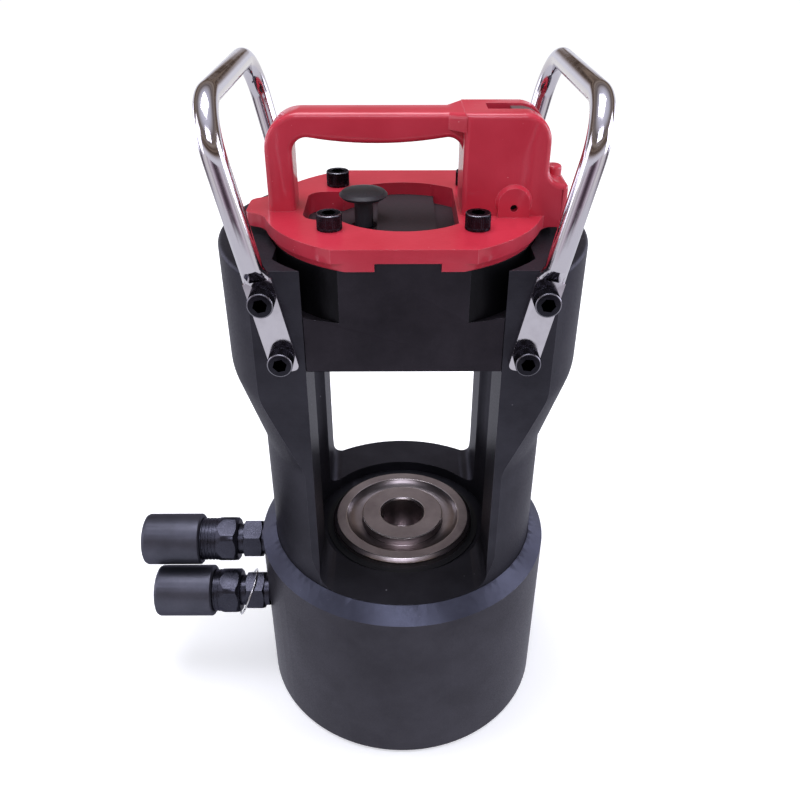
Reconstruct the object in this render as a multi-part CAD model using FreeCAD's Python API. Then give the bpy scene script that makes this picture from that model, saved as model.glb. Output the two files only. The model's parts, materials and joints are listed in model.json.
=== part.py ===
import FreeCAD, Part
import math
import os

# Hydraulic crimping head: barrel with ram, screwed-in fork, bayonet closing head
# Millimetres, +Z up, origin at the centre of the barrel's bottom face
# The front is -Y, the couplers are on -X

V = FreeCAD.Vector

# Clearances
fit_gap = 0.1
seat_gap = 0.3
free_gap = 0.5

# Barrel
floor_t = 24.0
thread_step = 12.5
thread_len = 35.5
rim_wall = 10.5
rim_bevel_h = 8.0
rim_fit = 0.4
shoulder_depth = 15.0
base_chamfer = 2.5

# Fork
lug_wall = 3.5
fork_step = 9.5
ear_flare = 16.0
cone_start = 86.5
cone_h = 52.0
cone_blend = 35.0
ear_edge = 4.0
flat_in = 8.0
flat_start = 23.5
flat_cutter_r = 32.0
window_hw = 53.3
window_h = 155.2
window_corner = 9.0
arm_hollow = 7.7
die_recess = 8.0

# Bayonet
closing_h = 59.6
ledge_w = 22.7
lug_reach = 10.0
lug_h = 30.3
lug_bore_gap = 0.4
ledge_gap = 1.0
shoulder_slope = 0.28
shelf_clear = 0.3

# Ram
ram_in = 4.0
ram_drop = 0.6
ram_stroke = 30.0
piston_t = 29.2
piston_relief = 5.0
piston_relief_h = 6.0
ram_land = 9.3
ram_groove_w = 11.2
groove_floor_w = 1.6
ram_groove_d = 5.2
ram_edge = 2.4
ram_boss_up = 1.3
die_shank_r = 15.0
die_shank_depth = 25.0

# Seals
rod_seal_up = 14.0
seal_depth = 6.0
seal_h = 6.0
guide_t = 2.5
guide_h = 8.0
wiper_t = 4.5
wiper_h = 5.0
wiper_lip = 1.0
oring_t = 3.0

# Carry handle casting
plate_lip = 2.5
plate_t = 7.4
foot_h = 4.3
foot_in = 3.0
foot_gap_x0 = -15.0
foot_gap_x1 = 19.0
hole_in = 35.5
slot_hy = 24.5
slot_corner = 9.0
tab_left_l = 13.0
tab_left_hy = 13.5
tab_right_l = 2.4
tab_right_hy = 15.0
tab_blend = 12.0
tab_corner = 7.0
bar_hy = 11.0
bar_up = 53.0
bar_t = 16.3
post_in = 1.0
post_t = 15.0
post_corner = 20.0
belly_rise = 4.8
grip_corner = 8.0
housing_in = 44.0
housing_l = 46.3
housing_hy = 19.0
housing_up = 54.2
housing_corner = 15.0
tower_up = 17.3
tower_wall = 2.5
shelf_r = 8.0
bar_flare = 8.0
cast_edge = 3.0

# Thumb lever and lock bolt
pivot_out = 18.1
pivot_up = 5.2
pivot_r = 2.0
boss_r = 10.0
boss_draft = 1.4
boss_h = 3.0
boss_up = 2.3
lever_hy = 6.5
lever_gap = 0.5
lever_w = 19.0
lever_inset = 1.2
lever_arm = 23.4
lever_room_up = 24.0
lever_swing = 12.0
lever_nose_r = 2.4
lever_nose_gap = 0.3
bolt_r = 3.5
bolt_neck_r = 1.8
bolt_hole_gap = 0.4
bolt_hole_depth = 8.0
bolt_head_h = 5.0
spring_pocket = 6.0
guide_boss_r = 4.7
guide_wall = 4.4

# Die pin
pin_x = -22.4
knob_r = 13.7
knob_t = 5.0
knob_up = 16.3
knob_stem_r = 5.3
pin_r = 4.0
pin_tip = 4.0
pin_pull = 10.0
pin_top_depth = 4.5
pin_collar_r = 6.4
pin_collar_t = 3.0
pin_bush_r = 7.5
pin_bush_t = 8.0

# Side handles
rod_r = 6.0
leg_lean = 12.0
leg_in = 15.4
leg_drop = 30.3
leg_screw_pitch = 35.0
leg_top_up = 4.0
grip_up = 81.7
grip_bend_r = 27.0
pad_t = 4.6
pad_w = 15.0
pad_end = 9.0
pad_neck = 8.0
pad_gap = 0.1

# Cap screws
screw_r = 4.0
head_r = 6.8
head_h = 8.8
hex_af = 6.0
hex_depth = 4.0
plate_screw_in = 36.8
plate_screw_dy = 29.6
plate_screw_reach = 16.0
leg_screw_wall = 1.2
grub_r = 4.0
grub_len = 24.0
grub_drop = 10.0

# Couplers
up_y = 0.0
up_drop = 24.5
coupler_drop = 36.0
low_y = -16.0
port_r = 8.5
port_depth = 15.0
spot_r = 15.5
up_spot_depth = 1.8
low_spot_depth = 2.4
nipple_gap = 3.6
nipple_hex_af = 25.5
nipple_hex_l = 13.2
nipple_neck_r = 11.0
nipple_neck_l = 4.0
collar_af = 31.0
collar_r = 17.0
collar_l = 14.8
sleeve_r = 15.0
sleeve_l = 41.0
socket_r = 10.5
socket_depth = 22.0
poppet_r = 6.5
poppet_l = 16.0
cap_t = 3.1
cap_wall = 4.0
cap_end_gap = 1.7
cap_thread_gap = 0.3
up_thread_shown = 12.0
low_thread_shown = 5.2
ring_r = 18.4
ring_wire = 0.6
ring_tilt = 22.0
channel_r = 3.0

# Radii that follow from the window's half width
die_bore_r = window_hw + arm_hollow
ram_r = window_hw - ram_in
neck_r = window_hw + ledge_w
lug_r = neck_r + lug_reach
fork_r = lug_r + lug_wall
thread_r = fork_r - fork_step
bore_r = thread_r - thread_step
barrel_r = fork_r + rim_wall
ear_r = fork_r + ear_flare
flat_y = neck_r - flat_in
ram_groove_r = ram_r - ram_land
ram_boss_r = ram_groove_r - ram_groove_w
plate_r = neck_r + plate_lip
foot_r = plate_r - foot_in
hole_r = plate_r - hole_in
plate_hy = flat_y + 1.2
cap_r = sleeve_r + cap_thread_gap + cap_t

# Heights that follow
fork_z0 = floor_t + seat_gap + piston_t + ram_stroke + free_gap
shoulder_at = fork_z0 + thread_len
barrel_h = shoulder_at + shoulder_depth
ram_top = barrel_h - ram_drop
cone_z0 = barrel_h + cone_start
cone_z1 = cone_z0 + cone_h
flat_end_z = barrel_h + flat_start
shelf_z = barrel_h + window_h
head_z0 = shelf_z + shelf_clear
shoulder_z = shelf_z + lug_h
ear_top = shelf_z + closing_h
plate_z0 = ear_top + foot_h
plate_z1 = plate_z0 + plate_t
bar_top = plate_z1 + bar_up
belly_z = bar_top - bar_t
housing_top = plate_z1 + housing_up
tower_z = plate_z1 + tower_up
pivot_z = plate_z1 + pivot_up
knob_z = ear_top + knob_up
leg_mid_z = ear_top - leg_drop
grip_z = ear_top + grip_up
grub_z = shoulder_at - grub_drop
up_z = barrel_h - up_drop
low_z = up_z - coupler_drop
bolt_n0 = pivot_z - lever_nose_r - lever_nose_gap
bolt_n1 = pivot_z + lever_nose_r + lever_nose_gap
pocket_top = bolt_n1 + bolt_head_h + spring_pocket
guide_floor = pocket_top + guide_wall

# Other places that follow
post_x0 = post_in - neck_r
housing_x0 = neck_r - housing_in
plate_screw_x = neck_r - plate_screw_in
plate_screw_y = flat_y - plate_screw_dy
post_x1 = post_x0 + post_t
tab_left_x = post_x0 - tab_left_l
slot_end_x = post_x1 + 4.5
housing_x1 = housing_x0 + housing_l
hole_flat_x = housing_x0 - 2.0
pivot_x = housing_x1 - pivot_out
bolt_x = pivot_x + lever_arm
bolt_travel = lever_arm * math.sin(math.radians(lever_swing))
tower_x1 = bolt_x + bolt_r + fit_gap + tower_wall
tab_right_x = tower_x1 + tab_right_l
leg_mid_x = window_hw + leg_in
leg_screw_x0 = leg_mid_x - leg_screw_pitch / 2 * math.sin(math.radians(leg_lean)) - screw_r
chamber_y = math.sqrt((lug_r + lug_bore_gap) ** 2 - leg_screw_x0 ** 2)
leg_screw_reach = flat_y - chamber_y - leg_screw_wall
leg_y = flat_y + pad_gap + rod_r
pin_spring_len = 2 * pin_pull
cap_l = sleeve_l - low_thread_shown + cap_end_gap + cap_wall


def cyl(r, h, x=0.0, y=0.0, z=0.0, axis=V(0, 0, 1)):
    return Part.makeCylinder(r, h, V(x, y, z), axis)


def box(x0, x1, y0, y1, z0, z1):
    return Part.makeBox(x1 - x0, y1 - y0, z1 - z0, V(x0, y0, z0))


def turned(points, axis_at=V(0, 0, 0), axis=V(0, 0, 1)):
    # Solid of revolution from a closed (radius, height) profile
    wire = Part.makePolygon([V(r, 0, z) for r, z in points] + [V(points[0][0], 0, points[0][1])])
    solid = Part.Face(wire).revolve(V(0, 0, 0), V(0, 0, 1), 360)
    turn = FreeCAD.Rotation(V(0, 0, 1), axis)
    solid.Placement = FreeCAD.Placement(axis_at, turn)
    return solid


def face_xz(outline, y=0.0):
    # Face from an XZ outline; an item of three points is an arc through them
    edges = []
    for seg in outline:
        pts = [V(x, y, z) for x, z in seg]
        if len(pts) == 2:
            edges.append(Part.LineSegment(*pts).toShape())
        else:
            edges.append(Part.Arc(*pts).toShape())
    return Part.Face(Part.Wire(edges))


def slab_xz(outline, y0, y1):
    return face_xz(outline, y0).extrude(V(0, y1 - y0, 0))


def round_edges(solid, r, test):
    picked = [e for e in solid.Edges if test(e)]
    if not picked:
        return solid
    return solid.makeFillet(r, picked)


def is_upright(edge, x_test, y_test=lambda y: True):
    a, b = edge.Vertexes[0].Point, edge.Vertexes[-1].Point
    same = abs(a.x - b.x) < 1e-4 and abs(a.y - b.y) < 1e-4
    return same and abs(a.z - b.z) > 1e-3 and x_test(a.x) and y_test(a.y)


def hex_bar(af, length, x, y, z, axis, spin=0.0):
    r = af / math.sqrt(3)
    pts = [V(r * math.cos(math.radians(spin + 60 * i)), r * math.sin(math.radians(spin + 60 * i)), 0)
           for i in range(7)]
    solid = Part.Face(Part.makePolygon(pts)).extrude(V(0, 0, length))
    solid.Placement = FreeCAD.Placement(V(x, y, z), FreeCAD.Rotation(V(0, 0, 1), axis))
    return solid


def cap_screw(x, y, z, reach, axis):
    # Socket-head cap screw: its head seats at x, y, z and stands along the axis
    head = cyl(head_r, head_h)
    head = head.makeChamfer(0.7, [e for e in head.Edges if abs(e.CenterOfMass.z - head_h) < 1e-3])
    solid = head.fuse(cyl(screw_r, reach, 0, 0, -reach)).removeSplitter()
    solid = solid.cut(hex_bar(hex_af, hex_depth, 0, 0, head_h - hex_depth, V(0, 0, 1)))
    solid.Placement = FreeCAD.Placement(V(x, y, z), FreeCAD.Rotation(V(0, 0, 1), axis))
    return solid


def ring(r_in, r_out, h, z):
    return cyl(r_out, h, 0, 0, z).cut(cyl(r_in, h, 0, 0, z))


def make_spring(wire_r, coil_r, length, turns, x, y, z):
    # Coil of straight lengths with a six-sided wire, as the coil itself is out of view
    step = 12
    rise = (length - 2 * wire_r) / (turns * step)
    rings = []
    for i in range(turns * step + 1):
        a = 2 * math.pi * i / step
        pts = []
        for j in range(7):
            b = math.pi * j / 3
            r = coil_r + wire_r * math.cos(b)
            pts.append(V(r * math.cos(a), r * math.sin(a), i * rise + wire_r * math.sin(b)))
        rings.append(Part.makePolygon(pts))
    solid = Part.makeLoft(rings, True, True)
    solid.Placement = FreeCAD.Placement(V(x, y, z + wire_r), FreeCAD.Rotation())
    return solid


def port_cut(y, z, x_surface, low_exit):
    # Spot face, threaded port and the drilled way down to the cylinder bore
    x_floor = -x_surface + port_depth
    cut = cyl(spot_r, 40, -x_surface, y, z, V(-1, 0, 0))
    cut = cut.fuse(cyl(port_r + fit_gap, port_depth, -x_surface, y, z, V(1, 0, 0)))
    x_way = x_floor - channel_r
    cut = cut.fuse(cyl(channel_r, z - low_exit, x_way, y, low_exit))
    cut = cut.fuse(cyl(channel_r, abs(x_way) - bore_r + 12, x_way - channel_r + 1, y, low_exit, V(1, 0, 0)))
    return cut


def make_barrel():
    r0 = fork_r + rim_fit
    body = turned([(0, 0), (barrel_r - base_chamfer, 0), (barrel_r, base_chamfer),
                   (barrel_r, barrel_h - rim_bevel_h), (r0, barrel_h), (0, barrel_h)])
    body = body.cut(cyl(r0, barrel_h, 0, 0, shoulder_at))
    body = body.cut(cyl(thread_r + fit_gap, thread_len + seat_gap, 0, 0, fork_z0 - seat_gap))
    body = body.cut(cyl(bore_r, barrel_h, 0, 0, floor_t))
    body = body.cut(port_cut(up_y, up_z, barrel_r - up_spot_depth, fork_z0 - channel_r - 1))
    body = body.cut(port_cut(low_y, low_z, barrel_r - low_spot_depth, floor_t + channel_r + 0.2))
    return body.cut(cyl(grub_r, grub_len, 0, barrel_r + 1, grub_z, V(0, -1, 0)))


def ledge_void(z0, z1):
    # Plan of the entry: the neck's bore plus a straight-sided way for the turned lugs
    way = cyl(lug_r + lug_bore_gap, z1 - z0, 0, 0, z0)
    hx = flat_y + ledge_gap
    way = way.common(box(-hx, hx, -120, 120, z0, z1))
    return way.fuse(cyl(neck_r + ledge_gap, z1 - z0, 0, 0, z0))


def make_fork():
    body = turned([(0, fork_z0), (thread_r, fork_z0), (thread_r, shoulder_at), (fork_r, shoulder_at),
                   (fork_r, cone_z0), (ear_r, cone_z1), (ear_r, ear_top), (0, ear_top)])
    rings = [e for e in body.Edges if e.Length > 500 and (abs(e.CenterOfMass.z - cone_z1) < 1e-3
                                                         or abs(e.CenterOfMass.z - cone_z0) < 1e-3)]
    body = body.makeFillet(cone_blend, rings)
    body = round_edges(body, ear_edge, lambda e: e.Length > 500 and abs(e.CenterOfMass.z - ear_top) < 1e-3)
    # Front and back flats that run out on a cutter radius
    for side in (-1, 1):
        cut = box(-130, 130, 0, 60, flat_end_z, ear_top + 10)
        curve = cyl(flat_cutter_r, 260, -130, flat_cutter_r, flat_end_z, V(1, 0, 0))
        cut = cut.fuse(curve.common(box(-130, 130, 0, flat_cutter_r, barrel_h, flat_end_z)))
        cut.translate(V(0, flat_y, 0))
        if side < 0:
            cut = cut.mirror(V(0, 0, 0), V(0, 1, 0))
        body = body.cut(cut)
    # The window between the arms, with rounded lower corners
    window = box(-window_hw, window_hw, -130, 130, barrel_h, shelf_z + 1)
    window = round_edges(window, window_corner, lambda e: abs(e.CenterOfMass.z - barrel_h) < 1e-3
                         and abs(abs(e.CenterOfMass.x) - window_hw) < 1e-3)
    body = body.cut(window)
    body = body.cut(cyl(die_bore_r, 200, 0, 0, barrel_h - die_recess))
    # The bayonet: lug chamber, conical underside of the ledges and the entry above
    rise = (lug_r + lug_bore_gap - neck_r) * shoulder_slope
    z_in = shoulder_z + shelf_clear + 0.1
    r_bore = lug_r + lug_bore_gap
    chamber = turned([(0, shelf_z), (r_bore, shelf_z), (r_bore, z_in + rise), (neck_r, z_in), (0, z_in)])
    body = body.cut(chamber)
    body = body.cut(ledge_void(z_in - 0.05, ear_top + 10))
    # Ram bore and the grooves of its seal and wiper
    recess_z = barrel_h - die_recess
    body = body.cut(cyl(ram_r + fit_gap, 100, 0, 0, fork_z0))
    body = body.cut(ring(ram_r, ram_r + fit_gap + seal_depth, seal_h, fork_z0 + rod_seal_up))
    body = body.cut(ring(ram_r, ram_r + fit_gap + wiper_t, wiper_h, recess_z - wiper_h))
    body = body.cut(ring(thread_r - oring_t, thread_r + 2, oring_t * 1.3, fork_z0 + 3))
    # Screw holes of the side handles
    for sx, sy, x, z in leg_screw_places():
        body = body.cut(cyl(screw_r, leg_screw_reach + 0.3, x, sy * flat_y, z, V(0, -sy, 0)))
    # Locking hole for the bolt, and the grub screw's dimple
    body = body.cut(cyl(bolt_r + bolt_hole_gap, bolt_hole_depth + 1, bolt_x, 0, ear_top - bolt_hole_depth))
    return body.cut(cyl(grub_r, grub_len, 0, barrel_r + 1, grub_z, V(0, -1, 0)))


def make_ram():
    z0 = floor_t + seat_gap
    z1 = z0 + piston_t
    rp = bore_r - fit_gap
    boss_top = ram_top + ram_boss_up
    body = turned([(0, z0), (rp - piston_relief, z0), (rp - piston_relief, z0 + piston_relief_h),
                   (rp, z0 + piston_relief_h), (rp, z1), (ram_r, z1), (ram_r, ram_top - ram_edge),
                   (ram_r - ram_edge, ram_top), (ram_boss_r, ram_top), (ram_boss_r, boss_top - 0.5),
                   (ram_boss_r - 0.5, boss_top), (die_shank_r + 1.2, boss_top),
                   (die_shank_r, boss_top - 1.2), (die_shank_r, ram_top - die_shank_depth),
                   (0, ram_top - die_shank_depth)])
    # Groove round the boss, with a hollow slope on its outer side
    floor_z = ram_top - ram_groove_d
    slope = ram_groove_w - groove_floor_w
    side = [(ram_groove_r, ram_top), (ram_groove_r - slope * 0.4, ram_top - ram_groove_d * 0.72),
            (ram_groove_r - slope, floor_z)]
    groove = face_xz([[(ram_groove_r, ram_top + 1), side[0]], side, [side[2], (ram_boss_r, floor_z)],
                      [(ram_boss_r, floor_z), (ram_boss_r, ram_top + 1)],
                      [(ram_boss_r, ram_top + 1), (ram_groove_r, ram_top + 1)]])
    body = body.cut(groove.revolve(V(0, 0, 0), V(0, 0, 1), 360))
    body = body.cut(ring(rp - seal_depth, rp + 2, seal_h, z0 + piston_relief_h + 3))
    return body.cut(ring(rp - guide_t, rp + 2, guide_h, z0 + piston_relief_h + 12))


def make_head():
    # Closing head: lugs with a conical shoulder below, neck above, both cut to the fork's flats
    rise = (lug_r - neck_r) * shoulder_slope
    body = turned([(0, head_z0), (lug_r, head_z0), (lug_r, shoulder_z + rise), (neck_r, shoulder_z),
                   (neck_r, ear_top), (0, ear_top)])
    body = body.common(box(-120, 120, -flat_y, flat_y, head_z0, ear_top))
    # Key that fills the gap in the casting's foot
    body = body.fuse(box(foot_gap_x0 + seat_gap, foot_gap_x1 - seat_gap, -flat_y, flat_y, ear_top, plate_z0))
    body = body.removeSplitter()
    body = round_edges(body, 1.5, lambda e: abs(e.CenterOfMass.z - head_z0) < 1e-3)
    # Bore for the upper die's shank
    body = body.cut(cyl(die_shank_r, die_shank_depth, 0, 0, head_z0))
    body = body.cut(Part.makeCone(die_shank_r + 1.2, die_shank_r, 1.2, V(0, 0, head_z0)))
    # Stepped hole of the die pin
    z_spring = ear_top - pin_bush_t - pin_spring_len - pin_collar_t
    body = body.cut(cyl(pin_r + fit_gap, 80, pin_x, 0, head_z0 - 5))
    body = body.cut(cyl(pin_collar_r + seat_gap, 80, pin_x, 0, z_spring - seat_gap))
    body = body.cut(cyl(pin_bush_r, 80, pin_x, 0, ear_top - pin_bush_t))
    for x, y in plate_screw_places():
        body = body.cut(cyl(screw_r, plate_screw_reach, x, y, ear_top - plate_screw_reach + foot_h))
    return body


def plate_screw_places():
    return [(sx * plate_screw_x, sy * plate_screw_y) for sx in (-1, 1) for sy in (-1, 1)]


def leg_screw_places():
    lean = math.radians(leg_lean)
    out = []
    for sx in (-1, 1):
        for sy in (-1, 1):
            for k in (-0.5, 0.5):
                x = sx * (leg_mid_x + k * leg_screw_pitch * math.sin(lean))
                out.append((sx, sy, x, leg_mid_z + k * leg_screw_pitch * math.cos(lean)))
    return out


def casting_plate():
    plate = cyl(plate_r, plate_t, 0, 0, plate_z0)
    plate = plate.common(box(-120, 120, -plate_hy, plate_hy, plate_z0, plate_z1))
    plate = plate.fuse(box(tab_left_x, 0, -tab_left_hy, tab_left_hy, plate_z0, plate_z1))
    plate = plate.fuse(box(0, tab_right_x, -tab_right_hy, tab_right_hy, plate_z0, plate_z1)).removeSplitter()
    plate = round_edges(plate, tab_blend, lambda e: is_upright(
        e, lambda x: plate_r - tab_blend < abs(x) < plate_r, lambda y: abs(y) < tab_right_hy + 1))
    plate = round_edges(plate, tab_corner, lambda e: is_upright(
        e, lambda x: x < tab_left_x + 1 or x > tab_right_x - 1))
    foot = cyl(foot_r, foot_h, 0, 0, ear_top)
    foot = foot.common(box(-120, 120, -plate_hy, plate_hy, ear_top, plate_z0))
    foot = foot.cut(box(foot_gap_x0, foot_gap_x1, -120, 120, ear_top, plate_z0))
    body = plate.fuse(foot)
    z0, z1 = ear_top - 1, plate_z1 + 1
    hole = cyl(hole_r, z1 - z0, 0, 0, z0).common(box(-120, hole_flat_x, -120, 120, z0, z1))
    slot = box(slot_end_x, 0, -slot_hy, slot_hy, z0, z1)
    slot = round_edges(slot, slot_corner, lambda e: is_upright(e, lambda x: x < slot_end_x + 1))
    body = body.cut(hole).cut(slot)
    for x, y in plate_screw_places():
        body = body.cut(cyl(screw_r + seat_gap, z1 - z0, x, y, z0))
    return body


def casting_grip():
    # Left post and bar as one loop with a bellied underside, flared where it meets the housing
    z0 = plate_z0 + 1
    k = math.sqrt(0.5)
    pc = post_corner
    x0, x1, top = post_x0, housing_x0 + 8, bar_top
    outline = [[(x0, z0), (x0, top - pc)],
               [(x0, top - pc), (x0 + pc - pc * k, top - pc + pc * k), (x0 + pc, top)],
               [(x0 + pc, top), (x1, top)], [(x1, top), (x1, z0)], [(x1, z0), (x0, z0)]]
    grip = slab_xz(outline, -bar_hy, bar_hy)
    end = belly_z + belly_rise
    left, right = post_x1, housing_x0
    belly = [(left, end), ((left + right) / 2, belly_z), (right, end)]
    opening = slab_xz([[(left, z0 - 9), (left, end)], belly, [(right, end), (right, z0 - 9)],
                       [(right, z0 - 9), (left, z0 - 9)]], -20, 20)
    opening = round_edges(opening, grip_corner, lambda e: abs(e.CenterOfMass.z - end) < 1e-3
                          and abs(e.CenterOfMass.y) < 1e-3)
    grip = grip.cut(opening)
    grip = round_edges(grip, cast_edge, lambda e: abs(abs(e.CenterOfMass.y) - bar_hy) < 1e-3
                       and e.CenterOfMass.z > z0 + 1 and e.CenterOfMass.x < x1 - 1)
    low = end + cast_edge
    flare = Part.makeLoft([rounded_section(housing_x0 - bar_flare, bar_hy, low, bar_top),
                           rounded_section(housing_x0 + 1, housing_hy, low, housing_top)], True, True)
    return grip.fuse(flare)


def rounded_section(x, hy, z0, z1):
    # Closed YZ wire: a rectangle with its upper corners rounded as the casting's edges are
    r, k = cast_edge, cast_edge * (1 - math.sqrt(0.5))
    return Part.Wire([
        Part.LineSegment(V(x, -hy, z0), V(x, hy, z0)).toShape(),
        Part.LineSegment(V(x, hy, z0), V(x, hy, z1 - r)).toShape(),
        Part.Arc(V(x, hy, z1 - r), V(x, hy - k, z1 - k), V(x, hy - r, z1)).toShape(),
        Part.LineSegment(V(x, hy - r, z1), V(x, r - hy, z1)).toShape(),
        Part.Arc(V(x, r - hy, z1), V(x, k - hy, z1 - k), V(x, -hy, z1 - r)).toShape(),
        Part.LineSegment(V(x, -hy, z1 - r), V(x, -hy, z0)).toShape()])


def casting_housing():
    z0 = plate_z0 + 1
    hc = housing_corner
    k = math.sqrt(0.5)
    x0, x1, top = housing_x0, housing_x1, housing_top
    step = 2.5
    cove = tower_x1 - step - x1
    outline = [[(x0, z0), (x0, top)], [(x0, top), (x1 - hc, top)],
               [(x1 - hc, top), (x1 - hc + hc * k, top - hc + hc * k), (x1, top - hc)],
               [(x1, top - hc), (x1, tower_z + shelf_r)],
               [(x1, tower_z + shelf_r), (x1 + cove * (1 - k), tower_z + shelf_r * (1 - k)),
                (x1 + cove, tower_z)],
               [(x1 + cove, tower_z), (tower_x1 - step * (1 - k), tower_z - step * (1 - k)),
                (tower_x1, tower_z - step)],
               [(tower_x1, tower_z - step), (tower_x1, z0)], [(tower_x1, z0), (x0, z0)]]
    body = slab_xz(outline, -housing_hy, housing_hy)
    return round_edges(body, cast_edge, lambda e: abs(abs(e.CenterOfMass.y) - housing_hy) < 1e-3
                       and e.CenterOfMass.z > z0 + 1)


def lever_outline():
    # Thumb lever in XZ: flush with the housing's shoulder, hooked over the pivot, nose at the bolt
    inset = lever_inset
    x1, top, hc = housing_x1 - inset, housing_top - inset, housing_corner - inset
    k = math.sqrt(0.5)
    left = x1 - lever_w
    return [[(left, top), (x1 - hc, top)],
            [(x1 - hc, top), (x1 - hc + hc * k, top - hc + hc * k), (x1, top - hc)],
            [(x1, top - hc), (x1, guide_floor + 15)],
            [(x1, guide_floor + 15), (pivot_x + 5, pivot_z + 8)],
            [(pivot_x + 5, pivot_z + 8), (pivot_x + 8, pivot_z + 3)],
            [(pivot_x + 8, pivot_z + 3), (pivot_x + 8, pivot_z - 5)],
            [(pivot_x + 8, pivot_z - 5), (pivot_x - 5, pivot_z - 5)],
            [(pivot_x - 5, pivot_z - 5), (pivot_x - 5, pivot_z + 14)],
            [(pivot_x - 5, pivot_z + 14), (left, top)]]


def make_lever():
    body = slab_xz(lever_outline(), -lever_hy, lever_hy)
    arm_h = 2 * (lever_nose_r - 0.8)
    arm = box(pivot_x, bolt_x, -lever_hy, lever_hy, pivot_z - arm_h / 2, pivot_z + arm_h / 2)
    nose = cyl(lever_nose_r, 2 * lever_hy, bolt_x, -lever_hy, pivot_z, V(0, 1, 0))
    body = body.fuse(arm).fuse(nose).removeSplitter()
    body = body.cut(cyl(pivot_r + fit_gap, 4 * lever_hy, pivot_x, -2 * lever_hy, pivot_z, V(0, 1, 0)))
    # The nose is forked round the bolt's neck
    gap = bolt_neck_r + lever_nose_gap
    x_end = bolt_x + lever_nose_r
    fork_x = bolt_x - bolt_r - 1.0
    return body.cut(box(fork_x, x_end + 1, -gap, gap, pivot_z - 10, pivot_z + 10))


def make_lock_bolt():
    tip = ear_top + seat_gap
    c = 0.8
    top = bolt_n1 + bolt_head_h
    return turned([(0, tip), (bolt_r - c, tip), (bolt_r, tip + c), (bolt_r, bolt_n0), (bolt_neck_r, bolt_n0),
                   (bolt_neck_r, bolt_n1), (bolt_r, bolt_n1), (bolt_r, top), (0, top)], V(bolt_x, 0, 0))


def lever_room():
    # Slot for the lever, open at the top and at the right shoulder, and the room round its arm
    hy = lever_hy + lever_gap
    x_left = pivot_x - 15.5
    high = housing_top + 15
    x_out = housing_x1 + 30
    room = slab_xz([[(x_left, high), (x_left, pivot_z + lever_room_up)],
                    [(x_left, pivot_z + lever_room_up), (pivot_x - 8, pivot_z + 8)],
                    [(pivot_x - 8, pivot_z + 8), (pivot_x - 8, pivot_z - 7)],
                    [(pivot_x - 8, pivot_z - 7), (pivot_x + 10, pivot_z - 7)],
                    [(pivot_x + 10, pivot_z - 7), (pivot_x + 10, pivot_z + 5)],
                    [(pivot_x + 10, pivot_z + 5), (housing_x1, guide_floor)],
                    [(housing_x1, guide_floor), (x_out, guide_floor)],
                    [(x_out, guide_floor), (x_out, high)], [(x_out, high), (x_left, high)]], -hy, hy)
    h = lever_nose_r + lever_nose_gap + 0.6
    arm = box(pivot_x, bolt_x + lever_nose_r + 0.8, -hy, hy, pivot_z - bolt_travel - h - 0.8, pivot_z + h)
    return room.fuse(arm)


def make_carry_handle():
    body = casting_plate().fuse(casting_grip()).fuse(casting_housing())
    bz = pivot_z + boss_up
    for sy in (-1, 1):
        face = housing_hy + boss_h
        root = Part.makeCone(boss_r, boss_r - boss_draft, boss_h, V(pivot_x, sy * housing_hy, bz),
                             V(0, sy, 0))
        skirt = box(pivot_x - boss_r + boss_draft, pivot_x + boss_r - boss_draft,
                    min(sy * housing_hy, sy * face), max(sy * housing_hy, sy * face), plate_z1 - 1, bz)
        body = body.fuse(root).fuse(skirt)
    dome = cyl(guide_boss_r, guide_floor - plate_z1, bolt_x, 0, plate_z1)
    dome = round_edges(dome, 2.0, lambda e: abs(e.CenterOfMass.z - guide_floor) < 1e-3)
    body = body.fuse(dome).removeSplitter()
    body = body.cut(lever_room())
    body = body.cut(cyl(bolt_r + fit_gap, pocket_top - plate_z0 + 1, bolt_x, 0, plate_z0 - 1))
    hole_len = 2 * (housing_hy + boss_h) + 2
    return body.cut(cyl(pivot_r, hole_len, pivot_x, -hole_len / 2, pivot_z, V(0, 1, 0)))


def make_lever_pin():
    half = housing_hy - 1.5
    return cyl(pivot_r, 2 * half, pivot_x, -half, pivot_z, V(0, 1, 0))


def make_die_pin():
    z_tip = head_z0 - pin_tip
    z_collar = ear_top - pin_bush_t - pin_spring_len - pin_collar_t
    z_top = ear_top - pin_top_depth
    return turned([(0, z_tip), (pin_r - 1, z_tip), (pin_r, z_tip + 1), (pin_r, z_collar),
                   (pin_collar_r, z_collar), (pin_collar_r, z_collar + pin_collar_t),
                   (pin_r - 0.5, z_collar + pin_collar_t), (pin_r - 0.5, z_top), (0, z_top)],
                  V(pin_x, 0, 0))


def make_knob():
    # Mushroom knob with its stem, pushed on the pin
    z0 = ear_top - pin_top_depth
    edge = 1.6
    crown = 1.4
    top = knob_z + knob_t
    body = turned([(0, z0), (knob_stem_r, z0), (knob_stem_r, knob_z - 1.5), (knob_stem_r + 1.5, knob_z),
                   (knob_r - edge, knob_z), (knob_r, knob_z + edge), (knob_r, top - crown - edge),
                   (knob_r - edge, top - crown), (knob_r * 0.5, top - 0.3), (0, top)], V(pin_x, 0, 0))
    return body


def make_die_pin_bush():
    body = cyl(pin_bush_r, pin_bush_t, pin_x, 0, ear_top - pin_bush_t)
    return body.cut(cyl(knob_stem_r + fit_gap, pin_bush_t, pin_x, 0, ear_top - pin_bush_t))


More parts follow.
